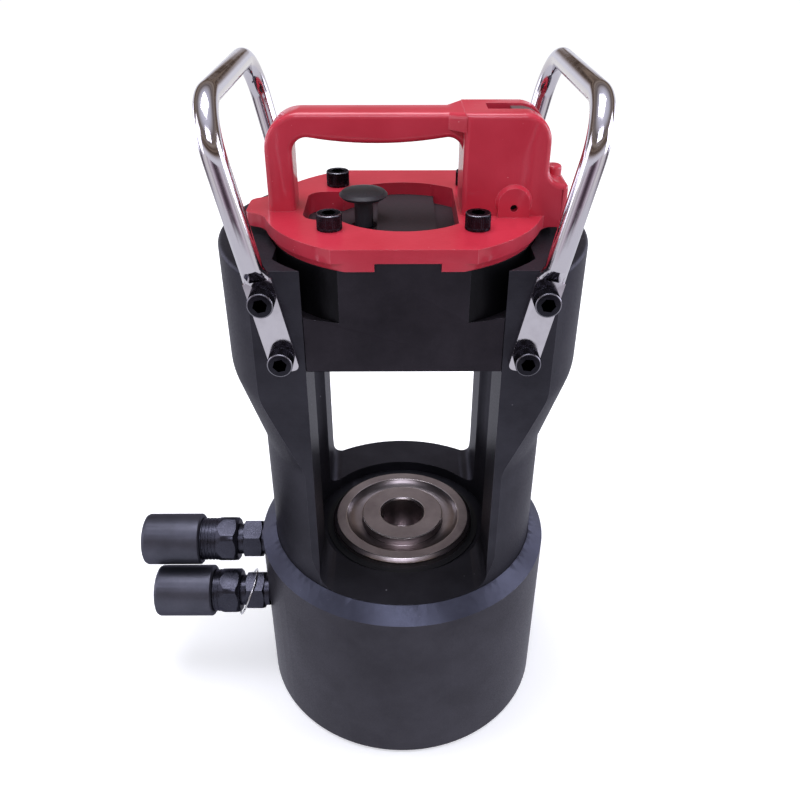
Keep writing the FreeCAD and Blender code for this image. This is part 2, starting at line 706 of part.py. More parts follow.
def make_side_handle(sx):
    # Bent round rod with two flattened ends
    lean = math.radians(leg_lean)
    xt = sx * (leg_mid_x + (grip_z - leg_mid_z) * math.tan(lean))
    down = V(-sx * math.sin(lean), 0, -math.cos(lean))
    corners = [V(xt, -leg_y, grip_z), V(xt, leg_y, grip_z)]
    pad_len = leg_screw_pitch / 2 + pad_end
    mid_l = (grip_z - leg_mid_z) / math.cos(lean)
    leg_top = ear_top + leg_top_up
    tube_l = (grip_z - leg_top) / math.cos(lean)
    ends = [corners[0] + down * tube_l, corners[1] + down * tube_l]
    # Ninety-degree bends between leg and grip
    t = grip_bend_r
    edges = []
    for i, (c, e) in enumerate(zip(corners, ends)):
        along = V(0, 1, 0) if i == 0 else V(0, -1, 0)
        p_leg = c + down * t
        p_bar = c + along * t
        centre = c + down * t + along * t
        mid = centre + (c - centre).normalize() * t
        leg = Part.LineSegment(e, p_leg).toShape()
        bend = Part.Arc(p_leg, mid, p_bar).toShape()
        if i == 0:
            edges += [leg, bend, Part.LineSegment(p_bar, corners[1] + V(0, -1, 0) * t).toShape()]
        else:
            edges += [bend, leg]
    path = Part.Wire(Part.__sortEdges__(edges))
    section = Part.Wire(Part.makeCircle(rod_r, ends[0], down))
    rod = path.makePipeShell([section], True, True)
    parts = [rod]
    across = V(math.cos(lean), 0, -sx * math.sin(lean))
    for sy, e in zip((-1, 1), ends):
        pad_bottom = V(sx * leg_mid_x, 0, leg_mid_z) + down * pad_len
        pad_top = V(sx * leg_mid_x, 0, leg_mid_z) - down * (mid_l - tube_l - pad_neck)
        y_in = flat_y + pad_gap
        h = pad_w / 2
        quad = [pad_bottom + across * h, pad_bottom - across * h, pad_top - across * h, pad_top + across * h]
        for q in quad:
            q.y = sy * y_in
        pad = Part.Face(Part.makePolygon(quad + [quad[0]])).extrude(V(0, sy * pad_t, 0))
        pad = pad.makeFillet(3.0, [g for g in pad.Edges if abs(g.Length - pad_t) < 1e-3
                                   and g.CenterOfMass.z < leg_mid_z - pad_len * 0.5])
        # Loft from the flat to the round rod
        flat_at = V(pad_top.x, sy * (y_in + pad_t / 2), pad_top.z)
        low = rod_section(flat_at, across, pad_w / 2, pad_t / 2)
        neck = Part.makeLoft([low, rod_section(e, across, rod_r, rod_r)], True, True)
        parts += [pad, neck]
    body = parts[0].multiFuse(parts[1:]).removeSplitter()
    for ssx, sy, x, z in leg_screw_places():
        if ssx == sx:
            body = body.cut(cyl(screw_r + seat_gap, 3 * rod_r, x, sy * (flat_y - 1), z, V(0, sy, 0)))
    return body


def rod_section(centre, across, a, b):
    # Closed section across a rod, a wide and b deep from its middle: round, or with two flat sides
    deep = V(0, 1, 0)
    w = a - b + b * math.sqrt(0.5)
    d = b * math.sqrt(0.5)
    if a == b:
        marks = [(-w, -d), (0, -b), (w, -d), (a, 0), (w, d), (0, b), (-w, d), (-a, 0), (-w, -d)]
    else:
        w = a - b
        marks = [(-w, -b), (0, -b), (w, -b), (a, 0), (w, b), (0, b), (-w, b), (-a, 0), (-w, -b)]
    pts = [centre + across * u + deep * v for u, v in marks]
    edges = []
    for i in range(0, 8, 2):
        if a != b and i % 4 == 0:
            edges.append(Part.LineSegment(pts[i], pts[i + 2]).toShape())
        else:
            edges.append(Part.Arc(pts[i], pts[i + 1], pts[i + 2]).toShape())
    return Part.Wire(edges)


def coupler_x(which):
    depth = up_spot_depth if which == "upper" else low_spot_depth
    return barrel_r - depth + nipple_gap


def make_nipple(which):
    y, z = (up_y, up_z) if which == "upper" else (low_y, low_z)
    x0 = coupler_x(which)
    base = x0 - nipple_gap
    out = V(-1, 0, 0)
    body = cyl(port_r, port_depth + nipple_gap - 1, -base + port_depth - 1, y, z, out)
    washer = cyl(nipple_neck_r, nipple_gap, -base, y, z, out)
    hexa = hex_bar(nipple_hex_af, nipple_hex_l, -x0, y, z, out, 12)
    trim = turned([(0, 0), (nipple_hex_af / 2, 0), (nipple_hex_af / 2 + 2.6, 1.5),
                   (nipple_hex_af / 2 + 2.6, nipple_hex_l - 1.5), (nipple_hex_af / 2, nipple_hex_l),
                   (0, nipple_hex_l)], V(-x0, y, z), out)
    hexa = hexa.common(trim)
    neck = cyl(nipple_neck_r, nipple_neck_l, -x0 - nipple_hex_l, y, z, out)
    body = body.fuse(washer).fuse(hexa).fuse(neck).removeSplitter()
    return body.cut(cyl(3.5, 60, -base + port_depth + 1, y, z, out))


def make_coupler(which):
    y, z = (up_y, up_z) if which == "upper" else (low_y, low_z)
    x0 = coupler_x(which) + nipple_hex_l + nipple_neck_l
    out = V(-1, 0, 0)
    collar = hex_bar(collar_af, collar_l, -x0, y, z, out, 12)
    trim = turned([(0, 0), (collar_r - 2.6, 0), (collar_r, 2.6), (collar_r, collar_l - 4),
                   (collar_r - 1.6, collar_l), (0, collar_l)], V(-x0, y, z), out)
    collar = collar.common(trim)
    sleeve = cyl(sleeve_r, sleeve_l, -x0 - collar_l, y, z, out)
    sleeve = sleeve.makeChamfer(1.0, [e for e in sleeve.Edges
                                      if abs(e.CenterOfMass.x + x0 + collar_l + sleeve_l) < 1e-3])
    body = collar.fuse(sleeve).removeSplitter()
    total = collar_l + sleeve_l
    body = body.cut(cyl(socket_r, socket_depth + 5, -x0 - total + socket_depth, y, z, out))
    return body.cut(cyl(5.0, total, -x0 + 1, y, z, out))


def make_poppet(which):
    y, z = (up_y, up_z) if which == "upper" else (low_y, low_z)
    x1 = coupler_x(which) + nipple_hex_l + nipple_neck_l + collar_l + sleeve_l - socket_depth
    return turned([(0, 0), (poppet_r, 0), (poppet_r, poppet_l - 3), (poppet_r - 2.5, poppet_l),
                   (0, poppet_l)], V(-x1, y, z), V(-1, 0, 0))


def make_cap(which):
    y, z = (up_y, up_z) if which == "upper" else (low_y, low_z)
    shown = up_thread_shown if which == "upper" else low_thread_shown
    x0 = coupler_x(which) + nipple_hex_l + nipple_neck_l + collar_l + shown
    r_in = sleeve_r + cap_thread_gap
    deep = cap_l - cap_wall
    end = cap_l
    return turned([(r_in, 0), (cap_r - 1.2, 0), (cap_r, 1.2), (cap_r, end - 2.5), (cap_r - 0.9, end - 0.7),
                   (cap_r - 2.5, end), (0, end), (0, deep), (r_in, deep)], V(-x0, y, z), V(-1, 0, 0))


def make_wire_ring():
    # Retaining ring of thin wire hung round the lower nipple's hexagon
    x = -(coupler_x("lower") + nipple_hex_l - 0.6)
    hex_top = nipple_hex_af / math.sqrt(3) * math.cos(math.radians(18))
    drop = ring_r * math.cos(math.radians(ring_tilt)) - ring_wire - hex_top - free_gap
    pts = [V(ring_r + ring_wire * math.cos(math.pi * i / 3), 0, ring_wire * math.sin(math.pi * i / 3))
           for i in range(7)]
    solid = Part.Face(Part.makePolygon(pts)).revolve(V(0, 0, 0), V(0, 0, 1), 360)
    turn = FreeCAD.Rotation(V(0, 1, 0), 90 + ring_tilt)
    solid.Placement = FreeCAD.Placement(V(x, low_y, low_z - drop), turn)
    return solid


def make_grub():
    x_end = barrel_r - 2.0
    body = cyl(grub_r, grub_len - 4, 0, x_end, grub_z, V(0, -1, 0))
    return body.cut(hex_bar(4.0, 4.0, 0, x_end, grub_z, V(0, -1, 0)))


def build():
    z0 = floor_t + seat_gap
    rp = bore_r - fit_gap
    recess_z = barrel_h - die_recess
    nodes = {
        "barrel": make_barrel(),
        "fork": make_fork(),
        "ram": make_ram(),
        "piston_seal": ring(rp - seal_depth, bore_r - 0.05, seal_h, z0 + piston_relief_h + 3),
        "guide_ring": ring(rp - guide_t, bore_r - 0.05, guide_h, z0 + piston_relief_h + 12),
        "rod_seal": ring(ram_r + 0.05, ram_r + fit_gap + seal_depth, seal_h, fork_z0 + rod_seal_up),
        "wiper": ring(ram_r + 0.05, ram_r + fit_gap + wiper_t, wiper_h + wiper_lip, recess_z - wiper_h),
        "barrel_seal": ring(thread_r - oring_t, thread_r + 0.05, oring_t * 1.3, fork_z0 + 3),
        "fork_grub_screw": make_grub(),
        "closing_head": make_head(),
        "carry_handle": make_carry_handle(),
        "lever_pin": make_lever_pin(),
        "thumb_lever": make_lever(),
        "lock_bolt": make_lock_bolt(),
        "lock_bolt_spring": make_spring(0.5, 3.0, spring_pocket - 0.2, 4, bolt_x, 0,
                                        bolt_n1 + bolt_head_h + 0.1),
        "die_pin": make_die_pin(),
        "die_pin_knob": make_knob(),
        "die_pin_bush": make_die_pin_bush(),
        "die_pin_spring": make_spring(0.6, 5.0, pin_spring_len - 0.2, 6, pin_x, 0,
                                      ear_top - pin_bush_t - pin_spring_len + 0.1),
        "left_side_handle": make_side_handle(-1),
        "right_side_handle": make_side_handle(1),
        "lower_wire_ring": make_wire_ring(),
    }
    for which in ("upper", "lower"):
        nodes[which + "_nipple"] = make_nipple(which)
        nodes[which + "_coupler"] = make_coupler(which)
        nodes[which + "_poppet"] = make_poppet(which)
        nodes[which + "_dust_cap"] = make_cap(which)
    for i, (x, y) in enumerate(plate_screw_places()):
        reach = plate_t + plate_screw_reach - 0.5
        nodes["carry_screw_%d" % (i + 1)] = cap_screw(x, y, plate_z1, reach, V(0, 0, 1))
    for i, (sx, sy, x, z) in enumerate(leg_screw_places()):
        side = "left" if sx < 0 else "right"
        name = "%s_handle_screw_%d" % (side, i % 4 + 1)
        y = sy * (flat_y + pad_gap + pad_t)
        nodes[name] = cap_screw(x, y, z, pad_t + pad_gap + leg_screw_reach, V(0, sy, 0))
    return nodes


os.makedirs("parts", exist_ok=True)
for node_name, node_shape in build().items():
    solids = node_shape.Solids
    if len(solids) != 1 or not node_shape.isValid():
        print("CHECK", node_name, len(solids), node_shape.isValid())
    shape = solids[0] if len(solids) == 1 else Part.makeCompound(solids)
    shape.exportStep("parts/" + node_name + ".step")
    b = shape.BoundBox
    print("%-24s %8.1f cm3  x %.1f %.1f  y %.1f %.1f  z %.1f %.1f" % (
        node_name, shape.Volume / 1000, b.XMin, b.XMax, b.YMin, b.YMax, b.ZMin, b.ZMax))
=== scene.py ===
import json
import math

import bpy
from mathutils import Euler, Matrix, Vector

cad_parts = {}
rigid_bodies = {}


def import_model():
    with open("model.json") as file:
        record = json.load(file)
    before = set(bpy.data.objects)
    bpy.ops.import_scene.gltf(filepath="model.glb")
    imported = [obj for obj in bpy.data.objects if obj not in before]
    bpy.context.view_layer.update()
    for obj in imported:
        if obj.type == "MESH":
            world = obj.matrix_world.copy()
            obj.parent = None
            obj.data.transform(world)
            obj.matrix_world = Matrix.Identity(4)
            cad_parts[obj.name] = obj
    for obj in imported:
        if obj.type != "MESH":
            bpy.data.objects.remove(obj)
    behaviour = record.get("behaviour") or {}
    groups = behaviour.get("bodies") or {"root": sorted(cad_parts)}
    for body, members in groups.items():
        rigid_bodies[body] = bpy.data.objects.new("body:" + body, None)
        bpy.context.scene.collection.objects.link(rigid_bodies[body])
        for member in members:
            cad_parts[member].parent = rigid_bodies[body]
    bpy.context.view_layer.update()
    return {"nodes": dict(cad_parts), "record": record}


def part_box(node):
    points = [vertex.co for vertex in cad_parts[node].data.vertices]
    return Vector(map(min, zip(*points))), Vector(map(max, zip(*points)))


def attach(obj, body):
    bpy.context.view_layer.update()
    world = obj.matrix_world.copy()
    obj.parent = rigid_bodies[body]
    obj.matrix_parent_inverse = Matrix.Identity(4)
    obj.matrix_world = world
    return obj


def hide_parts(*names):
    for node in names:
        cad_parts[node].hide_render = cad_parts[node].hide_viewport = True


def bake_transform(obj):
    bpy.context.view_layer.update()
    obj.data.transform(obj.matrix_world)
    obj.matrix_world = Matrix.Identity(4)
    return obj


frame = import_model()
nodes = frame["nodes"]
mm = 0.001


def deselectAll():
    for other in bpy.data.objects:
        other.select_set(False)


def pick(piece):
    deselectAll()
    piece.hide_set(False)
    piece.select_set(True)
    bpy.context.view_layer.objects.active = piece


# View and stage
view = {
    "place": (-0.00417, -0.44566, 0.50864),  # metres, from the fit to the picture's corners
    "tiltDegrees": 57.97,
    "turnDegrees": -0.32,
    "lens": 36.0,  # on a 36 mm sensor, so the view is 53 degrees wide
}

cameraData = bpy.data.cameras.new("viewCamera")
cameraData.lens = view["lens"]
cameraData.sensor_width = 36.0
cameraData.clip_start = 0.01
camera = bpy.data.objects.new("viewCamera", cameraData)
camera.location = view["place"]
camera.rotation_euler = Euler((math.radians(view["tiltDegrees"]), 0, math.radians(view["turnDegrees"])))
bpy.context.scene.collection.objects.link(camera)
bpy.context.scene.camera = camera
bpy.context.scene.view_settings.view_transform = "Standard"
print("camera placed")


# Materials
def colour(hexCode):
    # sRGB hex to linear
    parts = [int(hexCode[i:i + 2], 16) / 255 for i in (1, 3, 5)]
    return tuple(c / 12.92 if c <= 0.04045 else ((c + 0.055) / 1.055) ** 2.4 for c in parts) + (1.0,)


def addNode(tree, kind, links=None, **settings):
    # One node with its settings; links says which of its inputs another node's output feeds
    node = tree.nodes.new("ShaderNode" + kind)
    for key, value in settings.items():
        if key.startswith("in_"):
            name = key[3:]
            socket = node.inputs[int(name)] if name.isdigit() else node.inputs[name.replace("_", " ")]
            socket.default_value = value
        else:
            setattr(node, key, value)
    for name, source in (links or {}).items():
        tree.links.new(source, node.inputs[name])
    return node


def newMaterial(name, **settings):
    made = bpy.data.materials.new(name)
    made.use_nodes = True
    tree = made.node_tree
    tree.nodes.clear()
    shader = addNode(tree, "BsdfPrincipled")
    for key, value in settings.items():
        shader.inputs[key.replace("_", " ")].default_value = value
    addNode(tree, "OutputMaterial", {"Surface": shader.outputs[0]})
    place = addNode(tree, "TexCoord")
    return made, tree, shader, place.outputs["Object"]


def ramp(tree, source, low, high, lowColour, highColour):
    # Two-stop colour ramp between two levels of a pattern
    node = addNode(tree, "ValToRGB", {"Fac": source})
    node.color_ramp.elements[0].position = low
    node.color_ramp.elements[1].position = high
    node.color_ramp.elements[0].color = lowColour
    node.color_ramp.elements[1].color = highColour
    return node.outputs["Color"]


def grey(level):
    return (level, level, level, 1.0)


def addSpecks(tree, place, base, share, size, speckColour):
    # Small bright specks: dust and bare metal on most materials, painted glints on the barrel's blasted rim;
    # size in metres between them
    cells = addNode(tree, "TexVoronoi", {"Vector": place}, in_Scale=1 / size, in_Randomness=1.0)
    dots = ramp(tree, cells.outputs["Distance"], share, share + 0.03, grey(1), grey(0))
    pickSome = addNode(tree, "TexNoise", {"Vector": place}, in_Scale=0.35 / size, in_Detail=1.0)
    some = ramp(tree, pickSome.outputs["Fac"], 0.6, 0.64, grey(0), grey(1))
    both = addNode(tree, "Math", {0: dots, 1: some}, operation="MULTIPLY")
    mixed = addNode(tree, "MixRGB", {"Fac": both.outputs[0], "Color1": base}, in_Color2=speckColour)
    return mixed.outputs["Color"]


def machinedSteel(name, dark, light, roughness, lineStep, axis, lineDepth, metal=0.85, specks=0.0, rim="#a3a1a8",
                  grit=0.12):
    # Black-oxide steel: dark, satin, with fine tool marks lineStep metres apart across the axis;
    # rim is its reflection at a grazing angle, dulled by the oxide's pores, and grit the depth of its grain
    made, tree, shader, place = newMaterial(name, Metallic=metal, Roughness=roughness)
    shader.inputs["Specular Tint"].default_value = colour(rim)
    cloud = addNode(tree, "TexNoise", {"Vector": place}, in_Scale=26.0, in_Detail=5.0, in_Roughness=0.62)
    tone = ramp(tree, cloud.outputs["Fac"], 0.34, 0.68, colour(dark), colour(light))
    if specks:
        tone = addSpecks(tree, place, tone, 0.035, specks, colour("#9a97a0"))
    tree.links.new(tone, shader.inputs["Base Color"])
    lines = addNode(tree, "TexWave", {"Vector": place}, wave_type="BANDS", bands_direction=axis,
                    wave_profile="SIN", in_Scale=0.314 / lineStep, in_Distortion=1.2, in_Detail=2.0)
    lines.inputs["Detail Scale"].default_value = 30.0
    fine = addNode(tree, "TexNoise", {"Vector": place}, in_Scale=900.0, in_Detail=2.0)
    sheen = ramp(tree, fine.outputs["Fac"], 0.3, 0.7, grey(roughness - 0.05), grey(roughness + 0.07))
    tree.links.new(sheen, shader.inputs["Roughness"])
    lift = addNode(tree, "Bump", {"Height": lines.outputs["Fac"]}, in_Strength=lineDepth, in_Distance=0.00004)
    grain = addNode(tree, "Bump", {"Height": fine.outputs["Fac"], "Normal": lift.outputs[0]},
                    in_Strength=grit, in_Distance=0.00006)
    tree.links.new(grain.outputs[0], shader.inputs["Normal"])
    return made


# Black-oxide carbon steel, turned: near black with a soft blue-violet sheen
barrelSteel = machinedSteel("blackOxideTurnedSteel", "#3b393f", "#46444b", 0.42, 0.0011, "Z", 0.25,
                            rim="#e2e1e6")
# The same oxide on milled flats and forged cones
forkSteel = machinedSteel("blackOxideMilledSteel", "#302f35", "#3d3c43", 0.4, 0.0016, "Z", 0.35, specks=0.011,
                          metal=0.7, rim="#b9b7bd")
# Oxide on the ground closing head: a little browner
headSteel = machinedSteel("blackOxideGroundSteel", "#2e2b30", "#3b373d", 0.44, 0.0013, "Z", 0.2, specks=0.012)
# Phosphated carbon steel of the couplers: slate grey with a blue cast
couplerSteel = machinedSteel("phosphatedSteel", "#4c4c55", "#5e5e69", 0.42, 0.0006, "X", 0.2)
# The couplers' bodies under the caps: oilier and darker than the caps
couplerBodySteel = machinedSteel("oiledPhosphatedSteel", "#34343d", "#484853", 0.3, 0.0006, "X", 0.12, grit=0.03)
# Black-oxide alloy steel screws: darker, slightly shinier
screwSteel = machinedSteel("blackOxideScrew", "#232228", "#302f36", 0.24, 0.0008, "Z", 0.05, grit=0.05)
# Rims of the screws' heads and key holes, rubbed bare by the key and by handling, and lightened further as a
# painted highlight
rubbedAndHighlitRimSteel = machinedSteel("rubbedScrewRimAndHighlight", "#6f6d74", "#a3a1a8", 0.28, 0.0008, "Z", 0.05, metal=1.0)


def turnedFace():
    # Bare turned alloy steel of the ram: warm grey, rings left by the facing tool
    made, tree, shader, place = newMaterial("turnedAlloySteel", Metallic=1.0, Roughness=0.36)
    cloud = addNode(tree, "TexNoise", {"Vector": place}, in_Scale=42.0, in_Detail=6.0, in_Roughness=0.65)
    tone = ramp(tree, cloud.outputs["Fac"], 0.35, 0.7, colour("#9a8f90"), colour("#bbb0b0"))
    tree.links.new(tone, shader.inputs["Base Color"])
    rings = addNode(tree, "TexWave", {"Vector": place}, wave_type="RINGS", rings_direction="Z",
                    in_Scale=0.314 / 0.0014, in_Distortion=0.6, in_Detail=2.0)
    lift = addNode(tree, "Bump", {"Height": rings.outputs["Fac"]}, in_Strength=0.3, in_Distance=0.00005)
    tree.links.new(lift.outputs[0], shader.inputs["Normal"])
    return made


def enamel():
    # Two-pack enamel sprayed on a light-alloy sand casting: glossy red, softly uneven, with a few dust specks
    made, tree, shader, place = newMaterial("redEnamelOnCasting", Metallic=0.0, Roughness=0.42,
                                            Specular_IOR_Level=0.3, Coat_Weight=0.5, Coat_Roughness=0.09)
    cloud = addNode(tree, "TexNoise", {"Vector": place}, in_Scale=30.0, in_Detail=4.0)
    tone = ramp(tree, cloud.outputs["Fac"], 0.3, 0.72, colour("#bb2539"), colour("#c93548"))
    tone = addSpecks(tree, place, tone, 0.045, 0.0035, colour("#eaa9b0"))
    tree.links.new(tone, shader.inputs["Base Color"])
    skin = addNode(tree, "TexNoise", {"Vector": place}, in_Scale=330.0, in_Detail=3.0)
    lift = addNode(tree, "Bump", {"Height": skin.outputs["Fac"]}, in_Strength=0.3, in_Distance=0.0003)
    tree.links.new(lift.outputs[0], shader.inputs["Normal"])
    return made


def chromePlate():
    # Bright chrome on a drawn steel rod: mirror-like, hazed here and there by handling
    made, tree, shader, place = newMaterial("chromePlatedRod", Metallic=1.0, Roughness=0.09)
    shader.inputs["Base Color"].default_value = colour("#cbc6cb")
    cloud = addNode(tree, "TexNoise", {"Vector": place}, in_Scale=160.0, in_Detail=4.0)
    haze = ramp(tree, cloud.outputs["Fac"], 0.35, 0.75, grey(0.06), grey(0.2))
    tree.links.new(haze, shader.inputs["Roughness"])
    return made


def plain(name, hexCode, metal, roughness, grainStep=0.001):
    # Small part with a fine grain of its own
    made, tree, shader, place = newMaterial(name, Metallic=metal, Roughness=roughness)
    grain = addNode(tree, "TexNoise", {"Vector": place}, in_Scale=1 / grainStep, in_Detail=3.0)
    base = colour(hexCode)
    darker = tuple(c * 0.8 for c in base[:3]) + (1.0,)
    tone = ramp(tree, grain.outputs["Fac"], 0.35, 0.65, darker, base)
    tree.links.new(tone, shader.inputs["Base Color"])
    lift = addNode(tree, "Bump", {"Height": grain.outputs["Fac"]}, in_Strength=0.15, in_Distance=0.0001)
    tree.links.new(lift.outputs[0], shader.inputs["Normal"])
    return made


ramSteel = turnedFace()
redEnamel = enamel()
chrome = chromePlate()
# Zinc-plated lever: dull warm grey
leverSteel = plain("zincPlatedLever", "#8f7f80", 0.75, 0.4)
# Moulded nylon: matt, near black
knobPlastic = plain("mouldedNylonKnob", "#343338", 0.0, 0.5, 0.0006)
# Ground pins and poppets: bright, finely ground
pinSteel = plain("groundPinSteel", "#a3a2a6", 1.0, 0.25)
# Drawn spring wire: grey and shiny
springSteel = plain("springWire", "#85848a", 1.0, 0.3)
# Oxide worn to bare metal along the machined edges
rubbedOxide = plain("rubbedOxideEdge", "#706e76", 1.0, 0.3)
# Enamel drawn thin over the casting's edges, its pale pink partly a painted highlight along them: paler and
# glossier than the faces
thinEnamelAndHighlight = plain("enamelThinAndHighlightAtEdges", "#f4a3ac", 0.0, 0.2)
thinCoat = thinEnamelAndHighlight.node_tree.nodes["Principled BSDF"].inputs
thinCoat["Coat Weight"].default_value = 1.0
thinCoat["Coat Roughness"].default_value = 0.08
# Chamfers of the ram, polished by the dies that slide over them, and lighter than bare steel as a painted
# highlight
polishedAndHighlitSteel = plain("polishedChamferAndHighlight", "#cfc6c4", 1.0, 0.16)
# The barrel's bevelled rim: finely blasted; its blue-grey tint and bright specks are partly painted glints
blastedAndGlintSteel = machinedSteel("blastedRimSteelAndGlints", "#3a3b47", "#484a58", 0.4, 0.0011, "Z", 0.1, specks=0.002,
                             rim="#e2e1e6")
# Near-black oxide as painted shade, on the neck sides inside the bayonet and on the lever pin down its hole
paintedShadeSteel = plain("paintedShadeOxide", "#17161a", 0.8, 0.5)
# The closing head's ground top: duller, browner and less metallic than its other faces
groundTop = plain("dullBrownGroundTop", "#3b3136", 0.5, 0.6)
# Nitrile rubber seals: matt black
sealRubber = plain("nitrileRubber", "#17171a", 0.0, 0.6)
# Bronze-filled bearing tape: brown and matt
guidePlastic = plain("bronzeFilledBearing", "#5c3d26", 0.0, 0.5)
# Bright drawn wire of the ring
wireSteel = plain("brightWire", "#d2d0d2", 1.0, 0.22)
print("materials made")

slotMaterials = {
    "barrel_steel": barrelSteel, "fork_steel": forkSteel, "head_steel": headSteel, "ram_steel": ramSteel,
    "cast_red": redEnamel, "screw_steel": screwSteel, "handle_chrome": chrome,
    "coupler_steel": couplerSteel, "lever_steel": leverSteel, "knob_plastic": knobPlastic,
    "pin_steel": pinSteel, "spring_steel": springSteel, "seal_rubber": sealRubber,
    "guide_plastic": guidePlastic, "wire_steel": wireSteel,
}

nodeSlots = {part["node"]: part["material_slot"] for part in frame["record"]["subparts"]}
nodeBodies = {n: b for b, members in frame["record"]["behaviour"]["bodies"].items() for n in members}


def wear(piece, made):
    piece.data.materials.clear()
    piece.data.materials.append(made)


for name, node in nodes.items():
    wear(node, slotMaterials[nodeSlots[name]])
wear(nodes["lever_pin"], paintedShadeSteel)  # painted shade: the pin sits deep in its hole
print("frame dressed:", len(nodes), "nodes")


# Rounded copies
def roundedCopy(name, edge, angle=26.0, steps=2, edgeMade=None, rides=True):
    # A merged copy of a frame part with its sharp edges broken as a deburring tool leaves them
    piece = bpy.data.objects.new(name + "_finished", nodes[name].data.copy())
    bpy.context.scene.collection.objects.link(piece)
    pick(piece)
    bpy.ops.object.mode_set(mode="EDIT")
    bpy.ops.mesh.select_all(action="SELECT")
    bpy.ops.mesh.remove_doubles(threshold=0.000004)
    bpy.ops.mesh.dissolve_limited(angle_limit=math.radians(0.4))
    bpy.ops.object.mode_set(mode="OBJECT")
    wear(piece, slotMaterials[nodeSlots[name]])
    if edgeMade:
        piece.data.materials.append(edgeMade)
    bpy.ops.object.shade_smooth_by_angle(angle=math.radians(angle))
    if edge:
        cut = piece.modifiers.new("brokenEdges", "BEVEL")
        cut.harden_normals = True  # keeps the flat faces flat in the shading
        cut.material = 1 if edgeMade else -1
        cut.width = edge
        cut.segments = steps
        cut.limit_method = "ANGLE"
        cut.angle_limit = math.radians(angle)
        cut.miter_outer = "MITER_ARC"
        cut.use_clamp_overlap = True
        bpy.ops.object.modifier_apply(modifier=cut.name)
    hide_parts(name)
    if rides:
        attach(piece, nodeBodies[name])
    return piece


edges = {
    "barrel": 0.0006, "fork": 0.0005, "closing_head": 0.0005, "ram": 0.0009, "carry_handle": 0.0009,
    "thumb_lever": 0.0004, "die_pin_knob": 0.0003, "left_side_handle": 0.0004, "right_side_handle": 0.0004,
    "upper_nipple": 0.0003, "lower_nipple": 0.0003, "upper_coupler": 0.0003, "lower_coupler": 0.0003,
    "upper_dust_cap": 0.0003, "lower_dust_cap": 0.0003,
}
edgeWearAndHighlight = {"barrel": rubbedOxide, "fork": rubbedOxide, "closing_head": rubbedOxide, "carry_handle": thinEnamelAndHighlight,
            "ram": polishedAndHighlitSteel}
for name, edge in edges.items():
    roundedCopy(name, edge, edgeMade=edgeWearAndHighlight.get(name))
print("edges broken on", len(edges), "pieces")


# Faces with a finish of their own
def addFinish(piece, made, test):
    # Gives a further material to the faces that pass the test
    piece.data.materials.append(made)
    index = len(piece.data.materials) - 1
    for face in piece.data.polygons:
        if test(face):
            face.material_index = index


neckSet = {"radius": 76 * mm, "depth": 70 * mm, "halfWidth": 67.6 * mm, "topDepth": 12 * mm}


def finishHead():
    # The closing head's round neck sides, which turn inside the arms, get painted shade; its upward-facing
    # ground top faces get a duller, browner finish
    head = bpy.data.objects["closing_head_finished"]
    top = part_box("closing_head")[1][2]
    addFinish(head, paintedShadeSteel, lambda face: face.center.z > top - neckSet["depth"]
              and abs(math.hypot(face.center.x, face.center.y) - neckSet["radius"]) < 1.2 * mm
              and abs(face.center.y) < neckSet["halfWidth"])
    addFinish(head, groundTop, lambda face: face.normal.z > 0.9 and face.center.z > top - neckSet["topDepth"])


rimSet = {"depth": 14 * mm, "smallestArea": 4 * mm * mm}  # the bevel's own faces, not its broken edges


def finishRim():
    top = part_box("barrel")[1][2]
    addFinish(bpy.data.objects["barrel_finished"], blastedAndGlintSteel,
              lambda face: 0.4 < face.normal.z < 0.95 and face.center.z > top - rimSet["depth"]
              and face.area > rimSet["smallestArea"])


finishHead()
finishRim()


def coilSpring(name):
    # A rounded copy of the spring, attached to no body, its place baked into its mesh
    spring = roundedCopy(name, 0.0, rides=False)
    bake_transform(spring)


coilSpring("die_pin_spring")
coilSpring("lock_bolt_spring")


# Modelling helpers
def startMesh(name, maker, **settings):
    # Adds a primitive at its size and place and opens it for shaping, with all of it selected
    deselectAll()
    maker(**settings)
    piece = bpy.context.active_object
    piece.name = name
    bpy.ops.object.mode_set(mode="EDIT")
    bpy.ops.mesh.select_mode(type="VERT")
    return piece


def selectVerts(piece, test):
    # Selects the vertices whose place passes the test, with the edges and faces between them
    bpy.ops.mesh.select_all(action="DESELECT")
    bpy.ops.object.mode_set(mode="OBJECT")
    for vert in piece.data.vertices:
        vert.select = test(piece.matrix_world @ vert.co)
    bpy.ops.object.mode_set(mode="EDIT")


def pull(dx=0.0, dy=0.0, dz=0.0):
    bpy.ops.mesh.extrude_region_move(TRANSFORM_OT_translate={"value": (dx, dy, dz)})


def swell(value, centre):
    bpy.ops.transform.resize(value=value, center_override=centre)


def settle(piece, smoothDegrees=30.0):
    # Back to object mode, place in the mesh, smooth shading below an angle
    bpy.ops.object.mode_set(mode="OBJECT")
    pick(piece)
    bpy.ops.object.transform_apply(location=True, rotation=True, scale=True)
    bpy.ops.object.shade_smooth_by_angle(angle=math.radians(smoothDegrees))


def finish(piece, made, body, node=None):
    wear(piece, made)
    if node:
        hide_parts(node)
    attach(piece, body)


# Socket-head cap screws
screwSet = {
    "headRadius": 6.8 * mm,
    "headHeight": 8.8 * mm,
    "footEdge": 0.3 * mm,  # chamfer under the head
    "ribEdge": 0.15 * mm,  # run-out of the ribs
    "rimRound": 0.7 * mm,
    "ribs": 42,
    "ribDepth": 0.24 * mm,
    "plainBand": 1.5 * mm,  # unknurled foot of the head
    "keyWidth": 6.0 * mm,  # across the flats of the hexagon
    "keyDepth": 4.0 * mm,
    "keyEdge": 0.45 * mm,  # countersink of the key hole
    "keySwell": 1.12,
    "keyTip": 1.2 * mm,
    "shankRadius": 3.95 * mm,
    "shankTip": 0.8 * mm,
}


